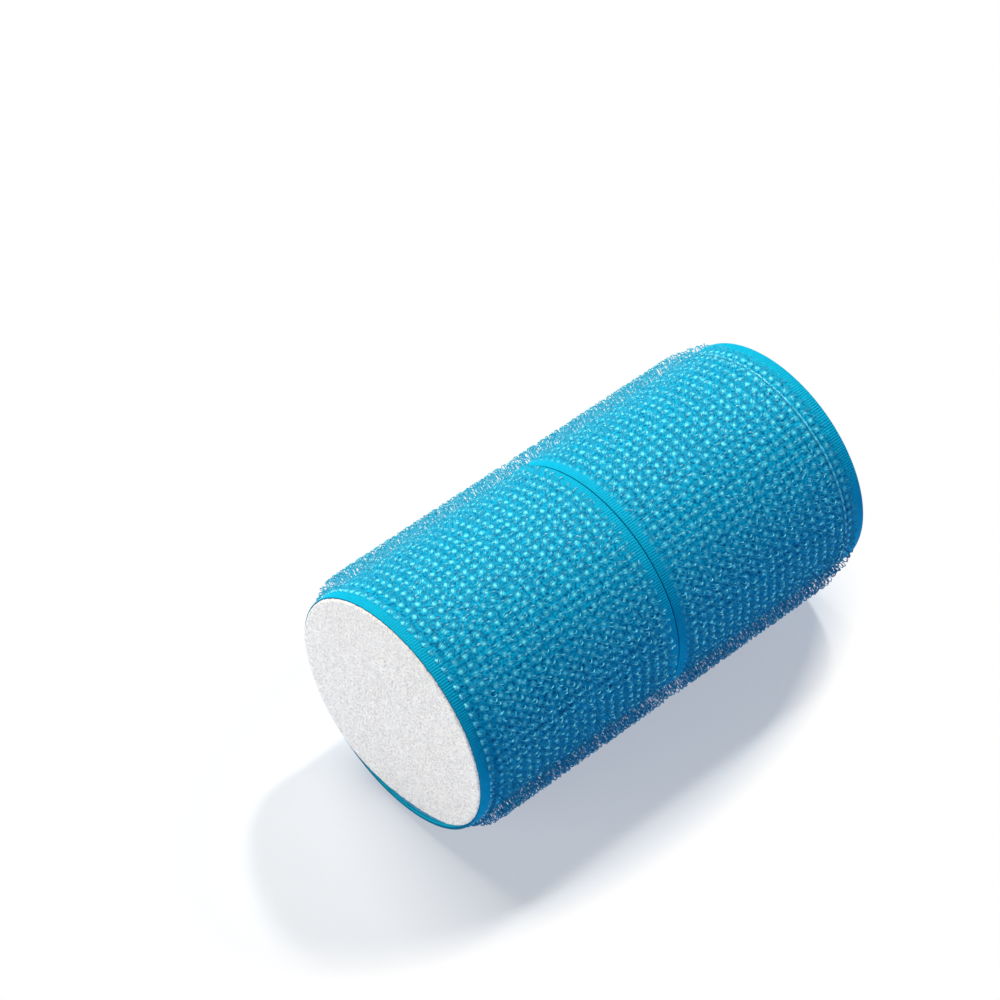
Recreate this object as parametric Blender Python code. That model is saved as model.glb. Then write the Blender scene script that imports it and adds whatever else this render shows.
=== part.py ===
"""Self-grip hair roller: two bands of woven hook tape glued round a solid foam cylinder.

The roller lies on its side with its axis along X and rests on z = 0. The bands butt at mid
length, and each one closes round the foam with a straight slit low on the +Y side. An angle
round the roller is measured from straight down, and grows towards +Y.
"""
import math

import bmesh
import bpy
from mathutils import Vector

MM = 0.001

# Driving dimensions
TAPE_WIDTH = 50.0 * MM
SEAM_GAP = 0.4 * MM
FIT_GAP = 0.3 * MM
SELVEDGE_WIDTH = 3.0 * MM
SELVEDGE_RADIUS = 25.3 * MM
SELVEDGE_CHAMFER = 0.15 * MM
WEB_THICKNESS = 0.2 * MM
FILM_THICKNESS = 0.2 * MM
FILM_INSET = 0.5 * MM
FOAM_PROUD = 0.6 * MM
FOAM_EDGE_ROUND = 0.5 * MM
HOOK_TIP_RADIUS = 27.9 * MM
FLAT_DEPTH = 0.5 * MM
SLIT_WIDTH = 0.6 * MM

# Counts
ROUND_SEGMENTS = 60
HOOK_COLUMNS = 50
HOOK_ROWS = 6
SLIT_COLUMNS_FROM_BOTTOM = 8
STITCH_COUNT = 60

# Thread of the stitch line near each outer end
THREAD_RADIUS = 0.22 * MM
THREAD_NIP = 0.5
FRONT_STITCH_INSET = 2.4 * MM
REAR_STITCH_INSET = 5.3 * MM

# Radii that follow from the wound layers, outside to inside
PILE_INNER_RADIUS = SELVEDGE_RADIUS - WEB_THICKNESS
WEB_RADIUS = PILE_INNER_RADIUS - FIT_GAP
GROUND_INNER_RADIUS = WEB_RADIUS - WEB_THICKNESS
FILM_OUTER_RADIUS = GROUND_INNER_RADIUS - FIT_GAP
FILM_INNER_RADIUS = FILM_OUTER_RADIUS - FILM_THICKNESS
FOAM_RADIUS = FILM_INNER_RADIUS - FIT_GAP
STITCH_RADIUS = SELVEDGE_RADIUS + FIT_GAP + THREAD_RADIUS

AXIS_HEIGHT = HOOK_TIP_RADIUS - FLAT_DEPTH
BAND_END = SEAM_GAP / 2 + TAPE_WIDTH
FOAM_LENGTH = 2 * (BAND_END + FOAM_PROUD)

# Angles round the roller
SLIT_ANGLE = SLIT_WIDTH / SELVEDGE_RADIUS
COLUMN_ANGLE = (2 * math.pi - SLIT_ANGLE) / HOOK_COLUMNS
WRAP_START = SLIT_COLUMNS_FROM_BOTTOM * COLUMN_ANGLE + SLIT_ANGLE
FLAT_HALF_ANGLE = math.acos(AXIS_HEIGHT / HOOK_TIP_RADIUS)

# One hook, from its root to its tip: height over its facet, reach along the axis,
# turn of the filament from straight out, and half thickness
HOOK_STEPS = (
    (0.00 * MM, 0.00 * MM, math.radians(0), 0.34 * MM),
    (1.55 * MM, 0.05 * MM, math.radians(10), 0.28 * MM),
    (2.48 * MM, 0.70 * MM, math.radians(85), 0.24 * MM),
    (1.75 * MM, 1.35 * MM, math.radians(155), 0.10 * MM),
)
HOOK_SIDES = 3


def remove_everything():
    """Empties the scene."""
    for item in list(bpy.data.objects):
        bpy.data.objects.remove(item)


def plain_material(name, colour, roughness):
    """Returns a Principled material of one colour and roughness."""
    material = bpy.data.materials.new(name)
    material.use_nodes = True
    shader = material.node_tree.nodes["Principled BSDF"]
    shader.inputs["Base Color"].default_value = (*colour, 1.0)
    shader.inputs["Roughness"].default_value = roughness
    shader.inputs["Metallic"].default_value = 0.0
    return material


def add_mesh_object(name, bm, material, smooth_angle):
    """Turns a bmesh into a shaded object of the scene, with its faces pointing out."""
    bmesh.ops.recalc_face_normals(bm, faces=bm.faces)
    mesh = bpy.data.meshes.new(name)
    bm.to_mesh(mesh)
    bm.free()
    mesh.materials.append(material)
    mesh.shade_smooth()
    mesh.set_sharp_from_angle(angle=smooth_angle)
    item = bpy.data.objects.new(name, mesh)
    bpy.context.collection.objects.link(item)
    return item


def on_roller(x, radius, angle):
    """Returns the point at a distance along the axis, a radius and an angle from straight down."""
    return Vector((x, radius * math.sin(angle), AXIS_HEIGHT - radius * math.cos(angle)))


def band_limits(side):
    """Returns the x of a band's seam edge and of its outer edge; side is -1 at the front."""
    return side * SEAM_GAP / 2, side * BAND_END


def foam_core(material):
    """Solid sponge cylinder with softly rounded rims."""
    bm = bmesh.new()
    bmesh.ops.create_cone(
        bm, cap_ends=True, segments=ROUND_SEGMENTS,
        radius1=FOAM_RADIUS, radius2=FOAM_RADIUS, depth=FOAM_LENGTH,
    )
    rims = [edge for edge in bm.edges if abs(edge.verts[0].co.z - edge.verts[1].co.z) < FOAM_EDGE_ROUND]
    bmesh.ops.bevel(bm, geom=rims, offset=FOAM_EDGE_ROUND, segments=2, profile=0.5, affect="EDGES")
    item = add_mesh_object("foam_core", bm, material, math.radians(50))
    item.rotation_euler = (0.0, math.pi / 2, 0.0)
    item.location = (0.0, 0.0, AXIS_HEIGHT)
    return item


def wound_strip(name, profile, material):
    """Winds a closed profile of (x, radius) points round the roller, from slit edge to slit edge."""
    bm = bmesh.new()
    start = [bm.verts.new(on_roller(x, radius, WRAP_START)) for x, radius in profile]
    first_end = bm.faces.new(start)
    bmesh.ops.spin(
        bm, geom=[first_end, *first_end.edges, *start], cent=(0.0, 0.0, AXIS_HEIGHT), axis=(1.0, 0.0, 0.0),
        angle=2 * math.pi - SLIT_ANGLE, steps=ROUND_SEGMENTS, use_duplicate=False,
    )
    return add_mesh_object(name, bm, material, math.radians(30))


def adhesive_film(name, side, material):
    """Thin glue layer between the foam and one band of tape."""
    seam, end = band_limits(side)
    low = seam + side * FILM_INSET
    high = end - side * FILM_INSET
    profile = (
        (low, FILM_INNER_RADIUS), (high, FILM_INNER_RADIUS),
        (high, FILM_OUTER_RADIUS), (low, FILM_OUTER_RADIUS),
    )
    return wound_strip(name, profile, material)


def tape_ground(name, side, material):
    """Woven ground of one band: a thin web between two thicker selvedges."""
    seam, end = band_limits(side)
    shoulder = SELVEDGE_RADIUS - SELVEDGE_CHAMFER
    profile = (
        (seam, GROUND_INNER_RADIUS), (end, GROUND_INNER_RADIUS),
        (end, shoulder), (end - side * SELVEDGE_CHAMFER, SELVEDGE_RADIUS),
        (end - side * SELVEDGE_WIDTH, SELVEDGE_RADIUS), (end - side * SELVEDGE_WIDTH, WEB_RADIUS),
        (seam + side * SELVEDGE_WIDTH, WEB_RADIUS), (seam + side * SELVEDGE_WIDTH, SELVEDGE_RADIUS),
        (seam + side * SELVEDGE_CHAMFER, SELVEDGE_RADIUS), (seam, shoulder),
    )
    return wound_strip(name, profile, material)


def hook_section(centre, out, along, across, step):
    """Returns the corners of a hook's cross-section at one step of its path."""
    height, reach, turn, half_thickness = step
    middle = centre + out * height + along * reach
    inward = along * math.cos(turn) - out * math.sin(turn)
    corners = []
    for side in range(HOOK_SIDES):
        angle = 2 * math.pi * side / HOOK_SIDES
        corners.append(middle + (inward * math.cos(angle) + across * math.sin(angle)) * half_thickness)
    return corners


def pressed_section(root, out):
    """Returns a hook's root section carried straight out to the surface that the roller rests on."""
    return [corner - out * (corner.z / out.z) for corner in root]


def plant_hook(bm, cell, angle, forward):
    """Grows one hook out of a four-cornered cell of the sleeve, curling forwards or backwards.

    Where the roller rests, the hook is a stub cut flat.
    """
    a, b, c, d = cell if forward else (cell[1], cell[0], cell[3], cell[2])
    centre = (a.co + b.co + c.co + d.co) / 4
    along = (b.co - a.co).normalized()
    across = (d.co - a.co).normalized()
    out = Vector((0.0, centre.y, centre.z - AXIS_HEIGHT)).normalized()
    root = hook_section(centre, out, along, across, HOOK_STEPS[0])
    if abs(math.remainder(angle, 2 * math.pi)) < FLAT_HALF_ANGLE:
        sections = [root, pressed_section(root, out)]
    else:
        sections = [root] + [hook_section(centre, out, along, across, step) for step in HOOK_STEPS[1:]]
    rings = [[bm.verts.new(corner) for corner in section] for section in sections]
    p, q, r = rings[0]
    for corners in ((b, c, p), (c, q, p), (c, d, q), (d, r, q), (d, a, r), (a, b, r), (b, p, r)):
        bm.faces.new(corners)
    for lower, upper in zip(rings, rings[1:]):
        for side in range(HOOK_SIDES):
            following = (side + 1) % HOOK_SIDES
            bm.faces.new((lower[side], lower[following], upper[following], upper[side]))
    bm.faces.new(rings[-1])


def hook_pile(name, side, material):
    """Hooks of one band in a staggered lattice, standing on a thin slice of the woven ground."""
    seam, end = band_limits(side)
    low = seam + side * (SELVEDGE_WIDTH + FIT_GAP)
    high = end - side * (SELVEDGE_WIDTH + FIT_GAP)
    lines = [low + (high - low) * row / HOOK_ROWS for row in range(HOOK_ROWS + 1)]
    angles = [WRAP_START + COLUMN_ANGLE * column for column in range(HOOK_COLUMNS + 1)]
    bm = bmesh.new()
    outer = [[bm.verts.new(on_roller(x, SELVEDGE_RADIUS, angle)) for x in lines] for angle in angles]
    inner = [[bm.verts.new(on_roller(x, PILE_INNER_RADIUS, angle)) for x in (low, high)] for angle in angles]
    for column in range(HOOK_COLUMNS):
        this, following = outer[column], outer[column + 1]
        for row in range(HOOK_ROWS):
            cell = (this[row], this[row + 1], following[row + 1], following[row])
            if (column + row) % 2:
                bm.faces.new(cell)
            else:
                plant_hook(bm, cell, angles[column] + COLUMN_ANGLE / 2, row % 2 == 0)
        under, under_following = inner[column], inner[column + 1]
        bm.faces.new((*under, *reversed(under_following)))
        bm.faces.new((this[0], following[0], under_following[0], under[0]))
        bm.faces.new((this[-1], following[-1], under_following[1], under[1]))
    for edge in (0, -1):
        bm.faces.new((*outer[edge], *reversed(inner[edge])))
    return add_mesh_object(name, bm, material, math.radians(40))


def edge_stitch(name, x, material):
    """Line of stitches round the roller near one end: a thread that is nipped between its stitches."""
    curve = bpy.data.curves.new(name, "CURVE")
    curve.dimensions = "3D"
    curve.bevel_depth = THREAD_RADIUS
    curve.bevel_resolution = 0
    spline = curve.splines.new("POLY")
    point_count = 2 * STITCH_COUNT
    spline.points.add(point_count - 1)
    spline.use_cyclic_u = True
    for index, point in enumerate(spline.points):
        point.co = (*on_roller(x, STITCH_RADIUS, 2 * math.pi * index / point_count), 1.0)
        point.radius = THREAD_NIP if index % 2 else 1.0
    curve.materials.append(material)
    item = bpy.data.objects.new(name, curve)
    bpy.context.collection.objects.link(item)
    return item


def main():
    """Builds the foam, then the layers of each band."""
    remove_everything()
    foam = plain_material("white_foam", (0.76, 0.75, 0.77), 0.95)
    glue = plain_material("clear_glue", (0.70, 0.72, 0.70), 0.35)
    weave = plain_material("blue_weave", (0.0, 0.30, 0.60), 0.60)
    filament = plain_material("blue_filament", (0.03, 0.42, 0.72), 0.30)
    thread = plain_material("pale_thread", (0.40, 0.72, 0.84), 0.40)
    foam_core(foam)
    for band, side, stitch_inset in (("front", -1, FRONT_STITCH_INSET), ("rear", 1, REAR_STITCH_INSET)):
        adhesive_film(f"{band}_adhesive_film", side, glue)
        tape_ground(f"{band}_tape_ground", side, weave)
        hook_pile(f"{band}_hook_pile", side, filament)
        edge_stitch(f"{band}_edge_stitch", side * (BAND_END - stitch_inset), thread)


main()
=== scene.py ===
"""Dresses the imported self-grip hair roller: a sponge cylinder wrapped in two bands of woven hook tape.

The roller lies along X on the plane z = 0. An angle round it is measured from straight down and grows
towards +Y, so the point at radius r and angle a is (x, r sin a, axis height - r cos a). Lengths are in
metres.
"""
import logging
import math
from dataclasses import dataclass, field
from enum import Enum
from typing import Any

import bpy
import numpy as np
from mathutils import Matrix, Vector


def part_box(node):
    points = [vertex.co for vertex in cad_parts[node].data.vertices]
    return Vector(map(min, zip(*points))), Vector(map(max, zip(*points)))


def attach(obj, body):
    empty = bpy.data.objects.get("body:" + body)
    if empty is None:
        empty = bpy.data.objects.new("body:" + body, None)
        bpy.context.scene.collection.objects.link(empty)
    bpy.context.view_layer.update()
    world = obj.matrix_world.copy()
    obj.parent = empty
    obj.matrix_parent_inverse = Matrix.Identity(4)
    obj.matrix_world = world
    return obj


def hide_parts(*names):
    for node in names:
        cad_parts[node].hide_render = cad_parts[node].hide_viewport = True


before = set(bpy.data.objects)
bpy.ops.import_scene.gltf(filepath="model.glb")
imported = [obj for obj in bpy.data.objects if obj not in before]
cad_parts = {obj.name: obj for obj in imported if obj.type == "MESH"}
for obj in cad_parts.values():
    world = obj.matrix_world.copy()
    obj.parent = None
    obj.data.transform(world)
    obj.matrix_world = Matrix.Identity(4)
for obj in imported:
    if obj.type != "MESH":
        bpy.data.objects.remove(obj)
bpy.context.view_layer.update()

MM = 0.001
FULL_TURN = 2.0 * math.pi
RGB = tuple[float, float, float]
RGBA = tuple[float, float, float, float]
WARM: RGB = (1.0, 0.985, 0.93)
COOL: RGB = (0.2, 0.48, 1.0)
CREAM: RGB = (1.0, 0.93, 0.76)
PURE_WHITE: RGBA = (1.0, 1.0, 1.0, 1.0)
log = logging.getLogger("hair_roller")


class Band(Enum):
    """One of the two bands of tape; the value is the sign of its side along X."""

    FRONT = -1
    REAR = 1

    @property
    def label(self) -> str:
        """The word that begins the names of the band's pieces."""
        return self.name.lower()


class Slot(Enum):
    """The record's material slots."""

    FOAM = "foam"
    GLUE = "glue"
    WEAVE = "weave"
    FILAMENT = "filament"
    THREAD = "thread"


@dataclass(frozen=True)
class RollerFrame:
    """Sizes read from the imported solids.

    Attributes:
        axis_height: Height of the roller's axis over the surface that it lies on.
        core_radius: Radius of the sponge.
        face_reach: Distance of each sponge face from mid length.
        weave_radius: Radius over the selvedges of the tape.
        tip_radius: Radius over the tops of the hooks.
        slit_angle: Angle of the slit where each band closes.
        slit_width: Width of that slit.
    """

    axis_height: float
    core_radius: float
    face_reach: float
    weave_radius: float
    tip_radius: float
    slit_angle: float = math.radians(58.05)
    slit_width: float = 0.6 * MM

    @classmethod
    def read(cls) -> "RollerFrame":
        """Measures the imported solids.

        Returns:
            The sizes that the pieces are fitted to.
        """
        core_low, core_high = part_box("foam_core")
        axis_height = (core_low.z + core_high.z) / 2.0
        return cls(
            axis_height=axis_height,
            core_radius=(core_high.z - core_low.z) / 2.0,
            face_reach=core_high.x,
            weave_radius=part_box("front_tape_ground")[1].z - axis_height,
            tip_radius=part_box("front_hook_pile")[1].z - axis_height,
        )

    def wrap(self, x: np.ndarray, radius: np.ndarray, angle: np.ndarray) -> np.ndarray:
        """Places points on the roller.

        Args:
            x: Places along the axis.
            radius: Distances from the axis.
            angle: Angles from straight down, growing towards +Y.

        Returns:
            The points (x, r sin a, axis height - r cos a), with the coordinates in the last dimension.
        """
        x, radius, angle = np.broadcast_arrays(x, radius, angle)
        return np.stack(
            (x, radius * np.sin(angle), self.axis_height - radius * np.cos(angle)), axis=-1
        )

    def tape_angles(self, count: int) -> np.ndarray:
        """Spreads angles from one lip of the slit round to the other.

        Args:
            count: How many angles, the lips included.

        Returns:
            The angles in rising order.
        """
        half_slit = self.slit_width / 2.0 / self.weave_radius
        first = self.slit_angle + half_slit
        return np.linspace(first, first + FULL_TURN - 2.0 * half_slit, count)


def grid_quads(rows: int, columns: int, wrap_rows: bool = False, wrap_columns: bool = False) -> np.ndarray:
    """Joins a grid of points, where point (i, j) has the number i * columns + j.

    Args:
        rows: Rows of points.
        columns: Points in a row.
        wrap_rows: Whether the last row joins the first.
        wrap_columns: Whether each row closes on itself.

    Returns:
        The quads (i, j), (i, j + 1), (i + 1, j + 1), (i + 1, j), one in each line.
    """
    i = np.arange(rows if wrap_rows else rows - 1)[:, None]
    j = np.arange(columns if wrap_columns else columns - 1)[None, :]
    after_i = (i + 1) % rows
    after_j = (j + 1) % columns
    corners = (i * columns + j, i * columns + after_j, after_i * columns + after_j, after_i * columns + j)
    return np.stack(np.broadcast_arrays(*corners), axis=-1).reshape(-1, 4)


@dataclass
class Surface:
    """Points, faces and values of one mesh as whole arrays.

    Attributes:
        points: The points, one in each line.
        faces: Arrays of faces with equal corner counts, one face in each line.
        values: Named numbers, one for each point.
        uv: Texture places, one for each point.
        normals: Normals to shade by, one for each point, where they aren't the mesh's own.
    """

    points: np.ndarray
    faces: list[np.ndarray]
    values: dict[str, np.ndarray] = field(default_factory=dict)
    uv: np.ndarray | None = None
    normals: np.ndarray | None = None

    def build(self, name: str, material: bpy.types.Material) -> bpy.types.Object:
        """Puts the arrays into a smooth-shaded mesh object at the origin.

        Args:
            name: The piece's name.
            material: Its finish.

        Returns:
            The new object, linked to the scene.
        """
        corners = np.concatenate([f.ravel() for f in self.faces]).astype(np.int32)
        totals = np.concatenate([np.full(len(f), f.shape[1], np.int32) for f in self.faces])
        starts = np.concatenate(([0], np.cumsum(totals)[:-1])).astype(np.int32)
        mesh = bpy.data.meshes.new(name)
        mesh.vertices.add(len(self.points))
        mesh.vertices.foreach_set("co", self.points.astype(np.float32).ravel())
        mesh.loops.add(len(corners))
        mesh.loops.foreach_set("vertex_index", corners)
        mesh.polygons.add(len(totals))
        mesh.polygons.foreach_set("loop_start", starts)
        mesh.polygons.foreach_set("loop_total", totals)
        mesh.polygons.foreach_set("use_smooth", np.ones(len(totals), bool))
        if self.uv is not None:
            layer = mesh.uv_layers.new(name="UVMap")
            layer.data.foreach_set("uv", self.uv[corners].astype(np.float32).ravel())
        for label, numbers in self.values.items():
            attribute = mesh.attributes.new(label, "FLOAT", "POINT")
            attribute.data.foreach_set("value", numbers.astype(np.float32).ravel())
        mesh.update(calc_edges=True)
        mesh.validate()
        if self.normals is not None:
            mesh.normals_split_custom_set_from_vertices(self.normals.astype(np.float32))
        mesh.materials.append(material)
        piece = bpy.data.objects.new(name, mesh)
        bpy.context.scene.collection.objects.link(piece)
        return piece


def filament_tubes(paths: np.ndarray, across: np.ndarray, radius: np.ndarray, corners: int) -> Surface:
    """Closes a thin tube round each of many paths at once.

    A ring is the path's point plus its radius times (cos t * side + sin t * (tangent x side)), where side
    is the given direction with its part along the tangent taken out. Both ends are capped.

    Args:
        paths: Points of shape (tubes, steps, 3).
        across: A direction across each path, of shape (tubes, 3).
        radius: Radii that broadcast to (tubes, steps).
        corners: Corners of a ring.

    Returns:
        The tubes' points and faces, ring by ring, with normals that point away from the paths.
    """
    tubes, steps, _ = paths.shape
    tangent = np.gradient(paths, axis=1)
    tangent /= np.linalg.norm(tangent, axis=-1, keepdims=True)
    side = across[:, None, :] - np.sum(across[:, None, :] * tangent, axis=-1, keepdims=True) * tangent
    side /= np.linalg.norm(side, axis=-1, keepdims=True)
    other = np.cross(tangent, side)
    turn = np.arange(corners) * FULL_TURN / corners
    ring = np.cos(turn)[:, None] * side[:, :, None, :] + np.sin(turn)[:, None] * other[:, :, None, :]
    reach = np.broadcast_to(radius, (tubes, steps))[:, :, None, None]
    points = paths[:, :, None, :] + reach * ring
    first_ring = np.arange(corners)
    shift = (np.arange(tubes) * steps * corners)[:, None, None]
    walls = (grid_quads(steps, corners, wrap_columns=True)[None] + shift).reshape(-1, 4)
    ends = np.stack((first_ring[::-1], first_ring + (steps - 1) * corners))
    caps = (ends[None] + shift).reshape(-1, corners)
    return Surface(points.reshape(-1, 3), [walls, caps], normals=ring.reshape(-1, 3))


class ShaderGraph:
    """Adds and joins the nodes of one material or group."""

    def __init__(self, tree: bpy.types.NodeTree) -> None:
        """Empties the tree and keeps it."""
        tree.nodes.clear()
        self.tree = tree

    def add(self, kind: str, inputs: dict[str, Any] | None = None, **settings: Any) -> bpy.types.Node:
        """Adds a node.

        Args:
            kind: The node's type, without its ShaderNode prefix.
            inputs: Values or sockets for its inputs, by name or number.
            **settings: The node's own settings.

        Returns:
            The new node.
        """
        node = self.tree.nodes.new("ShaderNode" + kind)
        for key, value in settings.items():
            setattr(node, key, value)
        for key, value in (inputs or {}).items():
            self.feed(node.inputs[key], value)
        return node

    def feed(self, socket: bpy.types.NodeSocket, value: Any) -> None:
        """Links a socket to an input, or sets the input to a plain value."""
        if isinstance(value, bpy.types.NodeSocket):
            self.tree.links.new(value, socket)
        else:
            socket.default_value = value

    def math(self, operation: str, first: Any, second: Any = 0.0, third: Any = 0.0) -> bpy.types.NodeSocket:
        """Adds a Math node and gives its result."""
        return self.add("Math", {0: first, 1: second, 2: third}, operation=operation).outputs[0]

    def value(self, label: str) -> bpy.types.NodeSocket:
        """Reads one of the mesh's named numbers."""
        return self.add("Attribute", attribute_name=label).outputs["Fac"]

    def ramp(self, value: Any, span: tuple[float, float]) -> bpy.types.NodeSocket:
        """Rises from 0 to 1 as a value goes over its span."""
        low, high = span
        return self.add("MapRange", {"Value": value, "From Min": low, "From Max": high}).outputs["Result"]

    def seen_plainly(self) -> bpy.types.NodeSocket:
        """Gives 1 to rays of the camera, gloss and clear pieces, and 0 to light that falls on pieces."""
        path = self.add("LightPath")
        seen = self.math("MAXIMUM", path.outputs["Is Camera Ray"], path.outputs["Is Glossy Ray"])
        return self.math("MAXIMUM", seen, path.outputs["Is Transmission Ray"])

    def blend(self, factor: Any, low: Any, high: Any) -> bpy.types.NodeSocket:
        """Mixes two colours and gives the result."""
        node = self.add("Mix", data_type="RGBA")
        for number, value in ((0, factor), (6, low), (7, high)):
            self.feed(node.inputs[number], value)
        return node.outputs[2]


class SharedGroups:
    """The node groups that the finishes place.

    Attributes:
        GRAIN: Name of the group of random grain.
        GRAIN_DETAIL: Detail of its noise.
        GRAIN_SPAN: Values of the noise that become Low and High.
        RIBS: Name of the group of yarns.
    """

    GRAIN = "fibre_grain"
    GRAIN_DETAIL = 3.0
    GRAIN_SPAN = (0.3, 0.7)
    RIBS = "woven_ribs"

    @classmethod
    def grain(cls) -> bpy.types.NodeTree:
        """Soft random grain on Object coordinates.

        Returns:
            A group with the inputs Fineness, Low and High and the output Value from Low to High.
        """
        if cls.GRAIN in bpy.data.node_groups:
            return bpy.data.node_groups[cls.GRAIN]
        tree = bpy.data.node_groups.new(cls.GRAIN, "ShaderNodeTree")
        for label, value in (("Fineness", 1000.0), ("Low", 0.0), ("High", 1.0)):
            socket = tree.interface.new_socket(label, in_out="INPUT", socket_type="NodeSocketFloat")
            socket.default_value = value
        tree.interface.new_socket("Value", in_out="OUTPUT", socket_type="NodeSocketFloat")
        graph = ShaderGraph(tree)
        entry = tree.nodes.new("NodeGroupInput")
        leave = tree.nodes.new("NodeGroupOutput")
        place = graph.add("TexCoord").outputs["Object"]
        noise = graph.add(
            "TexNoise", {"Vector": place, "Scale": entry.outputs["Fineness"], "Detail": cls.GRAIN_DETAIL}
        )
        least, most = cls.GRAIN_SPAN
        spread = graph.add(
            "MapRange",
            {
                "Value": noise.outputs["Fac"],
                "From Min": least,
                "From Max": most,
                "To Min": entry.outputs["Low"],
                "To Max": entry.outputs["High"],
            },
        )
        graph.feed(leave.inputs["Value"], spread.outputs["Result"])
        return tree

    @classmethod
    def ribs(cls) -> bpy.types.NodeTree:
        """Twisted yarns on the UV map, with one unit of U and of V for each yarn.

        Returns:
            A group with the input Depth and the output Height, from 0 between yarns to Depth on a yarn.
        """
        if cls.RIBS in bpy.data.node_groups:
            return bpy.data.node_groups[cls.RIBS]
        tree = bpy.data.node_groups.new(cls.RIBS, "ShaderNodeTree")
        depth = tree.interface.new_socket("Depth", in_out="INPUT", socket_type="NodeSocketFloat")
        depth.default_value = 1.0
        tree.interface.new_socket("Height", in_out="OUTPUT", socket_type="NodeSocketFloat")
        graph = ShaderGraph(tree)
        entry = tree.nodes.new("NodeGroupInput")
        leave = tree.nodes.new("NodeGroupOutput")
        place = graph.add("SeparateXYZ", {"Vector": graph.add("TexCoord").outputs["UV"]})
        over = graph.math("SINE", graph.math("MULTIPLY", place.outputs["X"], FULL_TURN))
        under = graph.math("SINE", graph.math("MULTIPLY", place.outputs["Y"], FULL_TURN))
        cross = graph.math("MULTIPLY", over, under)
        height = graph.math("MULTIPLY_ADD", cross, 0.5, 0.5)
        graph.feed(leave.inputs["Height"], graph.math("MULTIPLY", height, entry.outputs["Depth"]))
        return tree


@dataclass(frozen=True)
class Finish:
    """What all finishes share: a name, a deep and a light colour, and how rough they are.

    Attributes:
        name: The material's name.
        deep: Colour of the low or dense parts.
        light: Colour of the high or thin parts.
        roughness: Lowest and highest roughness over the surface.
        fineness: Scale of the random grain, in grains to a metre.
        specular: Level of the plain gloss.
    """

    name: str
    deep: RGBA
    light: RGBA
    roughness: tuple[float, float]
    fineness: float
    specular: float

    def begin(self) -> tuple[bpy.types.Material, ShaderGraph, bpy.types.Node, bpy.types.NodeSocket]:
        """Makes the material with its shader, output and roughness.

        Returns:
            The material, its graph, its Principled shader and the grain from 0 to 1.
        """
        material = bpy.data.materials.new(self.name)
        material.use_nodes = True
        material.diffuse_color = self.light
        graph = ShaderGraph(material.node_tree)
        shader = graph.add("BsdfPrincipled")
        graph.add("OutputMaterial", {"Surface": shader.outputs["BSDF"]})
        grain = self.grain(graph, self.fineness, 0.0, 1.0)
        low, high = self.roughness
        graph.feed(shader.inputs["Roughness"], graph.math("MULTIPLY_ADD", grain, high - low, low))
        shader.inputs["Specular IOR Level"].default_value = self.specular
        return material, graph, shader, grain

    @staticmethod
    def grain(graph: ShaderGraph, fineness: float, low: float, high: float) -> bpy.types.NodeSocket:
        """Places the grain group.

        Args:
            graph: The material's graph.
            fineness: Scale of the grain.
            low: Value in the hollows.
            high: Value on the tops.

        Returns:
            The group's value.
        """
        node = graph.add("Group", node_tree=SharedGroups.grain())
        for label, value in (("Fineness", fineness), ("Low", low), ("High", high)):
            node.inputs[label].default_value = value
        return node.outputs["Value"]

    @staticmethod
    def mottle(
        graph: ShaderGraph, form: bpy.types.NodeSocket, share: float, grain: bpy.types.NodeSocket
    ) -> bpy.types.NodeSocket:
        """Shades by form and grain: the form times its share, plus the grain times the rest.

        Args:
            graph: The material's graph.
            form: A value from 0 to 1 that follows the surface's form.
            share: How much of the shade it gives.
            grain: The random grain.

        Returns:
            The shade from 0 to 1.
        """
        return graph.math("MULTIPLY_ADD", form, share, graph.math("MULTIPLY", grain, 1.0 - share))

    @staticmethod
    def raise_surface(
        graph: ShaderGraph,
        shader: bpy.types.Node,
        height: bpy.types.NodeSocket,
        distance: float,
        strength: float,
    ) -> None:
        """Bumps the shader's normal.

        Args:
            graph: The material's graph.
            shader: The Principled shader.
            height: Relief from 0 to 1.
            distance: Depth of the relief.
            strength: Share of the relief that shows.
        """
        bump = graph.add("Bump", {"Height": height, "Distance": distance, "Strength": strength})
        graph.feed(shader.inputs["Normal"], bump.outputs["Normal"])


@dataclass(frozen=True)
class SpongeFinish(Finish):
    """Matt white open-cell sponge with fine pores, whose darker middles are painted shade.

    Attributes:
        cells: Pores to a metre.
        wall_span: Distances from a pore's middle at which its wall begins and is whole; the darker middle is
            painted shade.
        wall_share: How much of the shade the walls give.
        pore_depth: Depth of the pores.
        pore_strength: Share of that depth that shows.
        sheen: Weight of the soft sheen.
    """

    name: str = "white_sponge"
    deep: RGBA = (0.52, 0.50, 0.50, 1.0)
    light: RGBA = (0.97, 0.94, 0.92, 1.0)
    roughness: tuple[float, float] = (0.85, 0.98)
    fineness: float = 1700.0
    specular: float = 0.2
    cells: float = 2100.0
    wall_span: tuple[float, float] = (0.05, 0.55)
    wall_share: float = 0.6
    pore_depth: float = 0.25 * MM
    pore_strength: float = 0.6
    sheen: float = 0.15

    def material(self) -> bpy.types.Material:
        """Builds the sponge: cell walls round small pores painted darker, as painted shade."""
        material, graph, shader, grain = self.begin()
        place = graph.add("TexCoord").outputs["Object"]
        pores = graph.add("TexVoronoi", {"Vector": place, "Scale": self.cells, "Randomness": 1.0})
        # Pore middles are painted darker than the cell walls: painted shade in the holes.
        wall = graph.ramp(pores.outputs["Distance"], self.wall_span)
        shade = self.mottle(graph, wall, self.wall_share, grain)
        graph.feed(shader.inputs["Base Color"], graph.blend(shade, self.deep, self.light))
        shader.inputs["Sheen Weight"].default_value = self.sheen
        self.raise_surface(graph, shader, wall, self.pore_depth, self.pore_strength)
        return material


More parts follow.
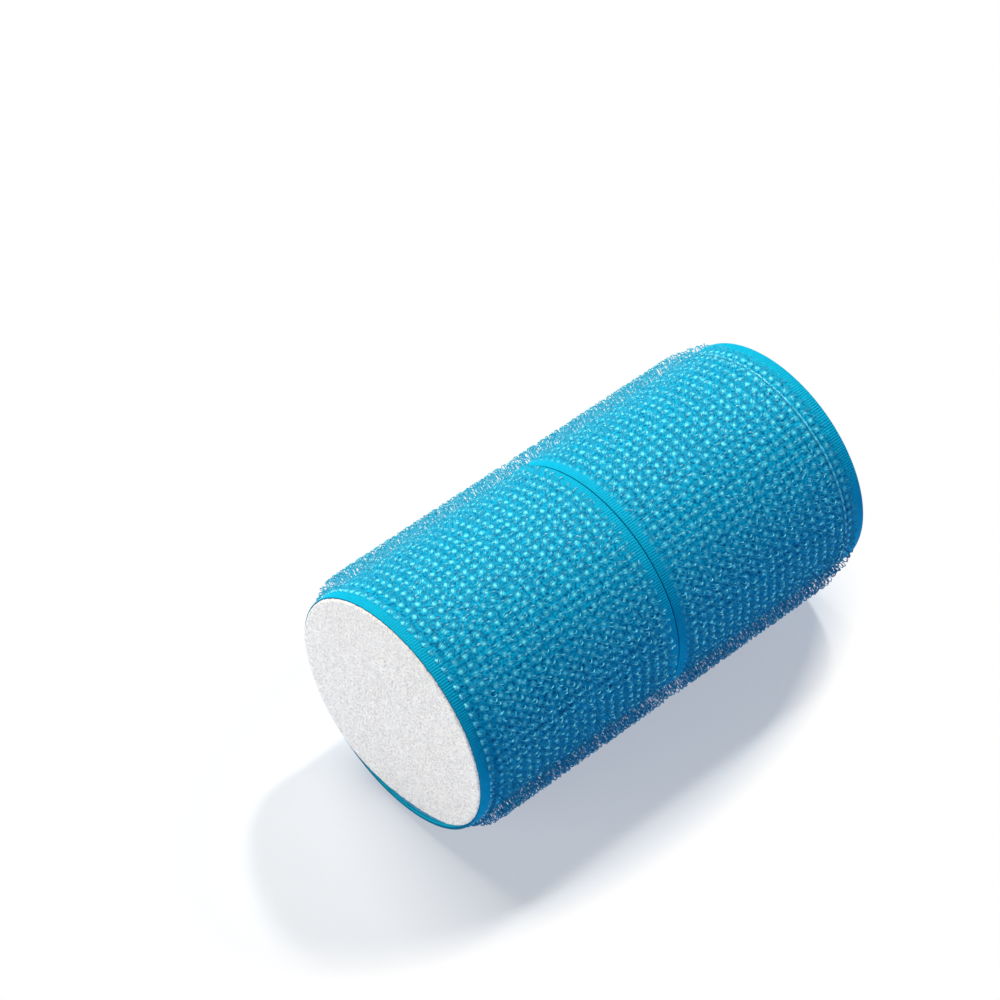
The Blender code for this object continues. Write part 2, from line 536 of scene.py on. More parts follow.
@dataclass(frozen=True)
class WeaveFinish(Finish):
    """Tightly woven blue nylon: clean ribs on the selvedges, and pale clear yarn where each tuft comes out;
    the grooves, the ground under the hooks and the cut edges are darker as painted shade, and the pale spots
    are also a painted highlight.

    Attributes:
        selvedge_shade: Shade of the bare selvedges in a groove, darker than on a crest as painted shade.
        selvedge_crest: What the crest of a rib adds to it; the darker grooves are painted shade.
        selvedge_grain: What the grain adds to it.
        crest_share: How much of the shade under the hooks the ribs give, with painted shade in the grooves.
        tuft: Colour of the clear yarn at the root of a tuft, which also paints the highlight on the crowns of
            the hooks.
        highlight_powers: Powers that narrow a tuft's pale spot round the roller and along it.
        highlight_groove: Share of the spot that shows in a groove.
        highlight_grain_fineness: Scale of the random grain over the spots.
        highlight_grain_low: Share of a spot that the grain leaves.
        edge_shade_share: How much darker the faces of the tape that turn along the roller, its cut edges, are
            painted, as painted shade.
        edge_shade_span: How far the surface faces along the roller where the painted shade of the edges
            begins and is whole.
        yarn_depth: Height of the yarns over the gaps between them.
        yarn_strength: Share of that height that shows.
    """

    name: str = "blue_ribbed_weave"
    deep: RGBA = (0.0, 0.035, 0.15, 1.0)
    light: RGBA = (0.004, 0.48, 0.70, 1.0)
    roughness: tuple[float, float] = (0.45, 0.6)
    fineness: float = 1900.0
    specular: float = 0.02
    selvedge_shade: float = 0.39
    selvedge_crest: float = 0.4
    selvedge_grain: float = 0.15
    crest_share: float = 0.1
    tuft: RGBA = (0.24, 1.0, 1.0, 1.0)
    highlight_powers: tuple[float, float] = (1.7, 2.8)
    highlight_groove: float = 0.6
    highlight_grain_fineness: float = 420.0
    highlight_grain_low: float = 0.65
    edge_shade_share: float = 0.75
    edge_shade_span: tuple[float, float] = (0.5, 0.9)
    yarn_depth: float = 0.06 * MM
    yarn_strength: float = 0.5

    @staticmethod
    def bell(graph: ShaderGraph, label: str) -> bpy.types.NodeSocket:
        """A soft hill over each whole number of an attribute: half of one plus the cosine of its turns.

        Args:
            graph: The material's graph.
            label: The attribute's name.

        Returns:
            The hill's height from 0 to 1.
        """
        wave = graph.math("COSINE", graph.math("MULTIPLY", graph.value(label), FULL_TURN))
        return graph.math("MULTIPLY_ADD", wave, 0.5, 0.5)

    def material(self) -> bpy.types.Material:
        """Builds the weave: light crests and deep grooves, which are painted shade, and soft pale spots at
        the tufts, which are pale yarn and a painted highlight.
        """
        material, graph, shader, grain = self.begin()
        # The crest of each rib is lighter than its grooves, on the selvedges and faintly under the hooks:
        # painted shade in the grooves.
        crest = graph.value("crest")
        pile = graph.value("pile")
        plain = graph.math("MULTIPLY_ADD", grain, self.selvedge_grain, self.selvedge_shade)
        bare = graph.math("MULTIPLY_ADD", crest, self.selvedge_crest, plain)
        # Under the hooks the ground is darker on average than on the bare selvedges: painted shade of the
        # pile, whose hooks cast no shadow.
        shaded_under_hooks = self.mottle(graph, crest, self.crest_share, grain)
        shade = graph.math("MULTIPLY_ADD", pile, graph.math("SUBTRACT", shaded_under_hooks, bare), bare)
        ground = graph.blend(shade, self.deep, self.light)
        # The spots at the tufts are pale yarn and also a painted highlight that stands for the glints on the
        # hooks' crowns.
        woven = graph.blend(self.tuft_highlights(graph, crest, pile), ground, self.tuft)
        # The cut edges, which face along the roller, are painted darker: painted shade.
        normal = graph.add("NewGeometry").outputs["Normal"]
        facing = graph.add("SeparateXYZ", {"Vector": normal}).outputs["X"]
        edge = graph.ramp(graph.math("ABSOLUTE", facing), self.edge_shade_span)
        painted_edge_shade = graph.math("MULTIPLY", edge, self.edge_shade_share)
        graph.feed(shader.inputs["Base Color"], graph.blend(painted_edge_shade, woven, self.deep))
        yarns = graph.add("Group", node_tree=SharedGroups.ribs())
        yarns.inputs["Depth"].default_value = 1.0
        self.raise_surface(graph, shader, yarns.outputs["Height"], self.yarn_depth, self.yarn_strength)
        return material

    def tuft_highlights(
        self, graph: ShaderGraph, crest: bpy.types.NodeSocket, pile: bpy.types.NodeSocket
    ) -> bpy.types.NodeSocket:
        """Soft pale spots at the tufts, pale yarn and a painted highlight: a hill round the roller times one
        along it, fainter in grooves.

        Args:
            graph: The material's graph.
            crest: Height of the ribs from 0 to 1.
            pile: 1 where hooks stand and 0 on the selvedges.

        Returns:
            How much of the tufts' colour shows.
        """
        round_power, along_power = self.highlight_powers
        hill = graph.math("POWER", self.bell(graph, "row"), round_power)
        hill = graph.math("MULTIPLY", hill, graph.math("POWER", self.bell(graph, "column"), along_power))
        highlight_grain = self.grain(graph, self.highlight_grain_fineness, self.highlight_grain_low, 1.0)
        raised = graph.math("MULTIPLY_ADD", crest, 1.0 - self.highlight_groove, self.highlight_groove)
        highlight = graph.math("MULTIPLY", graph.math("MULTIPLY", hill, raised), highlight_grain)
        return graph.math("MULTIPLY", highlight, pile)


@dataclass(frozen=True)
class FilamentFinish(Finish):
    """Clear blue nylon filament, glossier on the crown of each hook, where it is also paler as a painted
    highlight.

    Attributes:
        crown_span: Heights, as shares of a full hook, at which the crown begins and is whole.
        crown_share: How much of the shade the height gives, which paints the paler crowns as a painted
            highlight.
        coat_roughness: Roughness of the gloss on the crowns.
        coat_ior: Strength of that gloss, as the index of refraction of a coat.
    """

    name: str = "clear_blue_filament"
    deep: RGBA = (0.0, 0.24, 0.43, 1.0)
    light: RGBA = (0.28, 0.97, 1.0, 1.0)
    roughness: tuple[float, float] = (0.3, 0.4)
    fineness: float = 1400.0
    specular: float = 0.02
    crown_span: tuple[float, float] = (0.88, 1.0)
    crown_share: float = 0.8
    coat_roughness: float = 0.22
    coat_ior: float = 1.9

    def material(self) -> bpy.types.Material:
        """Builds the filament from its height over the weave, with paler crowns as a painted highlight."""
        material, graph, shader, grain = self.begin()
        # The crowns are painted paler than the stems: a painted highlight.
        crown = graph.ramp(graph.value("rise"), self.crown_span)
        shade = self.mottle(graph, crown, self.crown_share, grain)
        graph.feed(shader.inputs["Base Color"], graph.blend(shade, self.deep, self.light))
        graph.feed(shader.inputs["Coat Weight"], crown)
        shader.inputs["Coat Roughness"].default_value = self.coat_roughness
        shader.inputs["Coat IOR"].default_value = self.coat_ior
        return material


@dataclass(frozen=True)
class ThreadFinish(Finish):
    """Pale clear nylon thread.

    Attributes:
        crown_share: How much of the shade the crowns of the stitches give.
    """

    name: str = "pale_clear_thread"
    deep: RGBA = (0.01, 0.38, 0.58, 1.0)
    light: RGBA = (0.14, 0.74, 0.88, 1.0)
    roughness: tuple[float, float] = (0.2, 0.36)
    fineness: float = 1200.0
    specular: float = 0.5
    crown_share: float = 0.7

    def material(self) -> bpy.types.Material:
        """Builds the thread, paler on its crowns."""
        material, graph, shader, grain = self.begin()
        shade = self.mottle(graph, graph.value("crown"), self.crown_share, grain)
        graph.feed(shader.inputs["Base Color"], graph.blend(shade, self.deep, self.light))
        return material


@dataclass(frozen=True)
class GlueFinish(Finish):
    """Cloudy film of dried glue, in the blue of the tape that shows through it.

    Attributes:
        patch_depth: Depth of the cloudy patches.
        patch_strength: Share of that depth that shows.
    """

    name: str = "clear_glue_film"
    deep: RGBA = (0.01, 0.18, 0.44, 1.0)
    light: RGBA = (0.06, 0.36, 0.66, 1.0)
    roughness: tuple[float, float] = (0.3, 0.6)
    fineness: float = 500.0
    specular: float = 0.5
    patch_depth: float = 0.05 * MM
    patch_strength: float = 0.4

    def material(self) -> bpy.types.Material:
        """Builds the film with its cloudy patches."""
        material, graph, shader, grain = self.begin()
        graph.feed(shader.inputs["Base Color"], graph.blend(grain, self.deep, self.light))
        self.raise_surface(graph, shader, grain, self.patch_depth, self.patch_strength)
        return material


@dataclass(frozen=True)
class FloorFinish(Finish):
    """Plain white paper whose shadows are lightened and tinted cool by painted light, and painted pure white
    away from the roller.

    Attributes:
        white_share: Share of plain light that the camera and gloss see near the roller.
        shadow_tint: Colour of that share, which paints a cool tint over the shadow.
        bounce: Colour that the paper throws back on the roller.
        middle: Middle of the shadow.
        narrowness: How many times longer the shadow is along X than along Y.
        near: Distance from the middle, along X, within which the share holds.
        far: Distance beyond which the paper is painted pure white, over any shadow.
    """

    name: str = "white_paper_floor"
    deep: RGBA = (0.91, 0.91, 0.915, 1.0)
    light: RGBA = (0.93, 0.93, 0.935, 1.0)
    roughness: tuple[float, float] = (0.9, 1.0)
    fineness: float = 30.0
    specular: float = 0.0
    white_share: float = 0.53
    shadow_tint: RGBA = (0.79, 0.835, 0.91, 1.0)
    bounce: RGBA = (0.48, 0.62, 0.92, 1.0)
    middle: tuple[float, float, float] = (-0.015, 0.0, 0.0)
    narrowness: float = 1.85
    near: float = 0.070
    far: float = 0.082

    def material(self) -> bpy.types.Material:
        """Builds the paper: the camera sees it partly as plain light, and it throws back a cool light."""
        material, graph, shader, grain = self.begin()
        seen = graph.seen_plainly()
        paper = graph.blend(grain, self.deep, self.light)
        graph.feed(shader.inputs["Base Color"], graph.blend(seen, self.bounce, paper))
        place = graph.add("TexCoord").outputs["Object"]
        apart = graph.add("VectorMath", {0: place, 1: self.middle}, operation="SUBTRACT").outputs["Vector"]
        oval = (1.0, self.narrowness, 1.0)
        apart = graph.add("VectorMath", {0: apart, 1: oval}, operation="MULTIPLY").outputs["Vector"]
        distance = graph.add("VectorMath", {0: apart}, operation="LENGTH").outputs["Value"]
        away = graph.ramp(distance, (self.near, self.far))
        share = graph.math("MULTIPLY_ADD", away, 1.0 - self.white_share, self.white_share)
        share = graph.math("MULTIPLY", share, seen)
        # Painted light: a cool tint over the shadow near the roller, and pure white further off.
        plain = graph.blend(away, self.shadow_tint, PURE_WHITE)
        white = graph.add("Emission", {"Color": plain, "Strength": 1.0})
        mixed = graph.add("MixShader", {0: share, 1: shader.outputs["BSDF"], 2: white.outputs["Emission"]})
        output = next(node for node in material.node_tree.nodes if node.type == "OUTPUT_MATERIAL")
        graph.feed(output.inputs["Surface"], mixed.outputs["Shader"])
        return material


@dataclass(frozen=True)
class CutFace:
    """How one cut end of the sponge sits in the tape.

    Attributes:
        swell: How far its lip stands out over the end of the tape.
        draw: How far its whole rim is drawn in.
        sink: How far a part of the rim is sunk further behind the tape.
        sink_angle: Middle of the sunk part.
        sink_spread: Angle over which it fades.
        lip_fade: Depth of sinking at which the lip is gone.
    """

    swell: float
    draw: float
    sink: float
    sink_angle: float = math.radians(-15.0)
    sink_spread: float = math.radians(32.0)
    lip_fade: float = 0.45 * MM

    def depth(self, angle: np.ndarray) -> np.ndarray:
        """Depth of the rim: the drawn-in depth plus a bell curve round the sunk part.

        Args:
            angle: Angles round the roller.

        Returns:
            The depth at each angle.
        """
        swing = (angle - self.sink_angle + math.pi) % FULL_TURN - math.pi
        return self.draw + self.sink * np.exp(-((swing / self.sink_spread) ** 2))

    def lip(self, angle: np.ndarray) -> np.ndarray:
        """How far the rim stands out over the snug sponge: the full swell, fading where the rim sinks.

        Args:
            angle: Angles round the roller.

        Returns:
            The lip's height at each angle.
        """
        return self.swell * np.clip(1.0 - (self.depth(angle) - self.draw) / self.lip_fade, 0.0, 1.0)


@dataclass
class SpongeCore:
    """The cut sponge cylinder, whose front face swells a little over the tape and sinks in at one place.

    Attributes:
        roller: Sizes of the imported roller.
        cells: Squares along each side of the grid that is mapped to a face.
        edge_steps: Rings on the soft edge of a face.
        edge_round: Radius of that edge.
        snug_radius: Radius of the sponge just inside the end of the tape.
        proud: How far a face stands out of the tape.
        rim_power: Power with which the depth of the rim fades towards the middle of a face.
        relief: Height of the uneven cut.
        relief_span: Lowest and highest point of the uneven cut.
        crumb: Spread of the roughness of single cells.
        waves: Waves that make up the uneven cut.
        wave_lengths: Shortest and longest of these waves.
        under_tape: Distances of the lip, two snug rings and the body behind the end of the tape.
        rim_fade: Distance behind a face over which the depth of the rim fades.
        seed: Seed of the cut.
        faces: How the face at each end sits.
    """

    roller: RollerFrame
    cells: int = 150
    edge_steps: int = 6
    edge_round: float = 0.5 * MM
    snug_radius: float = 24.5 * MM
    proud: float = 0.6 * MM
    rim_power: int = 3
    relief: float = 0.05 * MM
    relief_span: tuple[float, float] = (-0.25 * MM, 0.12 * MM)
    crumb: float = 0.05 * MM
    waves: int = 36
    wave_lengths: tuple[float, float] = (1.2 * MM, 6.0 * MM)
    under_tape: tuple[float, ...] = (-0.05 * MM, 0.25 * MM, 2.5 * MM, 6.0 * MM)
    rim_fade: float = 6.0 * MM
    seed: int = 40
    faces: tuple[tuple[Band, CutFace], ...] = (
        (Band.FRONT, CutFace(swell=0.5 * MM, draw=0.3 * MM, sink=1.15 * MM)),
        (Band.REAR, CutFace(swell=0.0, draw=0.9 * MM, sink=0.4 * MM)),
    )

    def disc(self) -> tuple[np.ndarray, np.ndarray]:
        """Even points over a disc: squares round a square's middle become circles round the disc's.

        For a point (u, v) of the square from -1 to 1, the larger of |u| and |v| is the radius, and the place
        along its square, from corner to corner, is the angle within that quarter of the circle.

        Returns:
            Radii from 0 to 1 and angles, each of shape (cells + 1, cells + 1).
        """
        line = np.linspace(-1.0, 1.0, self.cells + 1)
        u, v = np.meshgrid(line, line, indexing="ij")
        wide = np.abs(u) >= np.abs(v)
        radius = np.where(wide, u, v)
        share = np.divide(np.where(wide, v, u), radius, out=np.zeros_like(u), where=radius != 0.0)
        angle = np.where(wide, share, 2.0 - share) * math.pi / 4.0
        return np.abs(radius), np.where(radius < 0.0, angle + math.pi, angle) % FULL_TURN

    def rim_numbers(self) -> np.ndarray:
        """Numbers of the disc's border points, once round in the order of their angles."""
        radius, angle = (part.ravel() for part in self.disc())
        border = np.flatnonzero(radius > 1.0 - 0.5 / self.cells)
        return border[np.argsort(angle[border])]

    def unevenness(self, y: np.ndarray, z: np.ndarray, rng: np.random.Generator) -> np.ndarray:
        """Relief of a cut face: a sum of small seeded waves across it, plus the roughness of single cells.

        Args:
            y: Places across the face.
            z: Heights on the face.
            rng: Seeded source of the waves.

        Returns:
            Heights over the flat cut.
        """
        length = rng.uniform(*self.wave_lengths, self.waves)
        heading = rng.uniform(0.0, FULL_TURN, self.waves)
        start = rng.uniform(0.0, FULL_TURN, self.waves)
        across = np.cos(heading) * FULL_TURN / length
        upward = np.sin(heading) * FULL_TURN / length
        wave = np.cos(y[..., None] * across + z[..., None] * upward + start).sum(axis=-1)
        grit = rng.normal(0.0, self.crumb, y.shape)
        return np.clip(self.relief * math.sqrt(2.0 / self.waves) * wave + grit, *self.relief_span)

    def half(self, band: Band, face: CutFace) -> tuple[np.ndarray, np.ndarray]:
        """Points of one half of the sponge.

        The rings run from the border of the disc over a quarter circle to the lip, step in under the tape and
        then follow the body to mid length.

        Args:
            band: The half's end.
            face: How its face sits.

        Returns:
            The disc's points, and the rings' points of shape (rings, border points, 3).
        """
        rng = np.random.default_rng(self.seed + band.value)
        share, disc_angle = (part.ravel() for part in self.disc())
        angle = disc_angle[self.rim_numbers()]
        depth = face.depth(angle)
        lip = self.snug_radius + face.lip(angle)
        disc_depth = face.depth(disc_angle)
        disc_lip = self.snug_radius + face.lip(disc_angle)
        disc_radius = share * (disc_lip - self.edge_round)
        bump = self.unevenness(disc_radius * np.sin(disc_angle), disc_radius * np.cos(disc_angle), rng)
        disc_reach = self.roller.face_reach - disc_depth * share**self.rim_power + bump
        disc = self.roller.wrap(band.value * disc_reach, disc_radius, disc_angle)
        turn = np.linspace(0.0, math.pi / 2.0, self.edge_steps)[1:, None]
        soft = rng.normal(0.0, self.crumb, (self.edge_steps - 1, angle.size))
        snug = np.full_like(angle, self.snug_radius)
        body = np.full_like(angle, self.roller.core_radius)
        under_tape = np.array(self.under_tape)[:, None] + self.proud
        back = np.concatenate((self.edge_round * (1.0 - np.cos(turn)), under_tape))
        radius = np.concatenate((
            lip - self.edge_round * (1.0 - np.sin(turn)) + soft, np.stack((lip, snug, snug, body))
        ))
        reach = self.roller.face_reach - back - depth * np.clip(1.0 - back / self.rim_fade, 0.0, 1.0)
        middle = np.zeros((1, angle.size))
        rings = self.roller.wrap(
            band.value * np.concatenate((reach, middle)), np.concatenate((radius, body[None])), angle
        )
        return disc, rings

    def build(self, material: bpy.types.Material) -> bpy.types.Object:
        """Joins both halves at mid length into one closed skin.

        Args:
            material: The sponge's finish.

        Returns:
            The sponge.
        """
        (front_disc, front), (rear_disc, rear) = (self.half(band, face) for band, face in self.faces)
        rim = self.rim_numbers()
        spokes = rim.size
        rings = np.concatenate((front, rear[::-1][1:]))
        first = len(front_disc)
        last = first + rings.shape[0] * spokes
        skin = grid_quads(rings.shape[0], spokes, wrap_columns=True) + first
        after = np.roll(np.arange(spokes), -1)
        here = np.arange(spokes)
        front_edge = np.stack((rim, rim[after], first + after, first + here), axis=-1)
        rear_ring = last - spokes
        rear_edge = np.stack((rear_ring + here, rear_ring + after, last + rim[after], last + rim), axis=-1)
        patch = grid_quads(self.cells + 1, self.cells + 1)
        points = np.concatenate((front_disc, rings.reshape(-1, 3), rear_disc))
        faces = [skin, front_edge, rear_edge, patch, patch[:, ::-1] + last]
        piece = Surface(points, faces).build("sponge_core", material)
        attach(piece, "root")
        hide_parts("foam_core")
        return piece


@dataclass(frozen=True)
class TuftLattice:
    """Where the tufts of hooks stand on one band: in rows round the roller and columns along it.

    Attributes:
        roller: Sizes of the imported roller.
        band: Which band.
        margin: Bare selvedge before the first column.
        rows: Tufts round the roller.
        columns: Tufts along the band.
        pitch: Distance between columns.
    """

    roller: RollerFrame
    band: Band
    margin: float
    rows: int = 82
    columns: int = 20
    pitch: float = 2.32 * MM

    def first_column(self) -> float:
        """Place of the first column along X."""
        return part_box(f"{self.band.label}_tape_ground")[0].x + self.margin

    def row_step(self) -> float:
        """Angle from one row to the next."""
        lips = self.roller.tape_angles(2)
        return (lips[1] - lips[0]) / self.rows

    def first_row(self) -> float:
        """Angle of the first row, half a step after the slit."""
        return self.roller.tape_angles(2)[0] + self.row_step() / 2.0

    def tufts(self) -> tuple[np.ndarray, np.ndarray]:
        """Places along X and angles of all tufts, row by row."""
        row, column = np.meshgrid(np.arange(self.rows), np.arange(self.columns), indexing="ij")
        place = self.first_column() + self.pitch * column.ravel()
        angle = self.first_row() + self.row_step() * row.ravel()
        return place, angle

    def numbers(self, x: np.ndarray, angle: np.ndarray) -> tuple[np.ndarray, np.ndarray]:
        """Row and column numbers of points on the band, whole at a tuft and broken between tufts.

        Args:
            x: Places along the axis.
            angle: Angles round the roller.

        Returns:
            The row numbers and the column numbers.
        """
        return (angle - self.first_row()) / self.row_step(), (x - self.first_column()) / self.pitch


@dataclass
class TapeGround:
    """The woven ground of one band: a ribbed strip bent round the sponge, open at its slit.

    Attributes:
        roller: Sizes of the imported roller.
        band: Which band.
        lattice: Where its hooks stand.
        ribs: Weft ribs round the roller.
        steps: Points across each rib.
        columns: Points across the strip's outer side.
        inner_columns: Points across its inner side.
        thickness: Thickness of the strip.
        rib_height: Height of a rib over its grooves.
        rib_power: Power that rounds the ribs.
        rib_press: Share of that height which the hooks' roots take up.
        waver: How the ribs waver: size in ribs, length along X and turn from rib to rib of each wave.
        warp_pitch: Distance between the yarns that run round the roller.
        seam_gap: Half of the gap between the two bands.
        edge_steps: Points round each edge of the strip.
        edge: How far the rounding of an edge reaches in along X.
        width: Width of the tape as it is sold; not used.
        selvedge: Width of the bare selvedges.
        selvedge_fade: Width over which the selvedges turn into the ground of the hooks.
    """

    roller: RollerFrame
    band: Band
    lattice: TuftLattice
    ribs: int = 300
    steps: int = 5
    columns: int = 34
    inner_columns: int = 9
    thickness: float = 0.7 * MM
    rib_height: float = 0.15 * MM
    rib_power: float = 0.7
    rib_press: float = 0.75
    waver: tuple[tuple[float, float, float], ...] = ((0.10, 7.0 * MM, 0.31), (0.06, 2.3 * MM, -0.17))
    warp_pitch: float = 0.45 * MM
    seam_gap: float = 0.04 * MM
    edge_steps: int = 5
    edge: float = 0.14 * MM
    width: float = 50.0 * MM
    selvedge: float = 2.7 * MM
    selvedge_fade: float = 0.6 * MM

    def limits(self) -> tuple[float, float]:
        """The strip's two edges along X, with the seam closed up."""
        low, high = (corner.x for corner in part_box(f"{self.band.label}_tape_ground"))
        if self.band is Band.FRONT:
            return low, -self.seam_gap
        return self.seam_gap, high

    def section(self) -> tuple[np.ndarray, np.ndarray, np.ndarray]:
        """Closed outline of the strip's cross-section.

        The outer side runs from the high edge to the low one, then a half oval turns in, the inner side runs
        back, and another half oval closes it.

        Returns:
            Places along X, depths under the outer surface, and how much of the ribs shows: 1 on the outer
            side, a half on the edges and 0 on the inner side.
        """
        low, high = self.limits()
        half = self.thickness / 2.0
        outer = np.linspace(high - self.edge, low + self.edge, self.columns)
        inner = np.linspace(low + self.edge, high - self.edge, self.inner_columns)
        turn = np.linspace(0.0, math.pi, self.edge_steps + 2)[1:-1]
        bulge = self.edge * (1.0 - np.sin(turn))
        x = np.concatenate((outer, low + bulge, inner, high - bulge))
        depth = np.concatenate((
            np.zeros(self.columns),
            half * (1.0 - np.cos(turn)),
            np.full(self.inner_columns, self.thickness),
            half * (1.0 + np.cos(turn)),
        ))
        on_edge = np.full(self.edge_steps, 0.5)
        shown = np.concatenate((np.ones(self.columns), on_edge, np.zeros(self.inner_columns), on_edge))
        return x, depth, shown

    def build(self, material: bpy.types.Material) -> bpy.types.Object:
        """Carries the section round the roller, with a rounded rib for each weft yarn.

        Args:
            material: The weave's finish.

        Returns:
            The strip.
        """
        x, depth, shown = self.section()
        rows = self.ribs * self.steps + 1
        yarn = np.linspace(0.0, self.ribs, rows)[:, None]
        angle = self.roller.tape_angles(rows)[:, None]
        waver = sum(size * np.sin(x / length + yarn * turn) for size, length, turn in self.waver)
        crest = np.abs(np.cos(math.pi * (yarn + waver))) ** self.rib_power
        crest = 1.0 - shown * (1.0 - crest)
        low, high = self.limits()
        inset = np.minimum(x - low, high - x)
        pile = np.clip((inset - self.selvedge) / self.selvedge_fade + 0.5, 0.0, 1.0)
        pile = np.broadcast_to(pile, crest.shape)
        relief = self.rib_height * (1.0 - self.rib_press * pile)
        radius = self.roller.weave_radius - depth - relief * (1.0 - crest)
        points = self.roller.wrap(x[None, :], radius, angle)
        row, column = np.broadcast_arrays(*self.lattice.numbers(x[None, :], angle))
        number = np.arange(rows * x.size).reshape(rows, x.size)
        lips = np.stack((number[0, ::-1], number[-1]))
        uv = np.stack(np.broadcast_arrays(x[None, :] / (2.0 * self.warp_pitch), yarn / 2.0), axis=-1)
        surface = Surface(
            points.reshape(-1, 3),
            [grid_quads(rows, x.size, wrap_columns=True), lips],
            {"crest": crest, "pile": pile, "row": row, "column": column},
            uv.reshape(-1, 2),
        )
        name = f"{self.band.label}_woven_ground"
        piece = surface.build(name, material)
        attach(piece, "root")
        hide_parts(f"{self.band.label}_tape_ground")
        return piece


@dataclass(frozen=True)
class Strand:
    """How one of the strands of a tuft grows.

    Attributes:
        way: Sign of the direction along the axis in which it arches.
        shift: Its place in the tuft, round the roller.
        tall: Its height, as a share of the tallest hook.
        wide: Radius of its arch, as a share of the widest arch.
        lean: Spread of its lean, in degrees.
        swing: Spread of its turn about its root, in degrees.
    """

    way: float
    shift: float
    tall: float
    wide: float
    lean: float
    swing: float


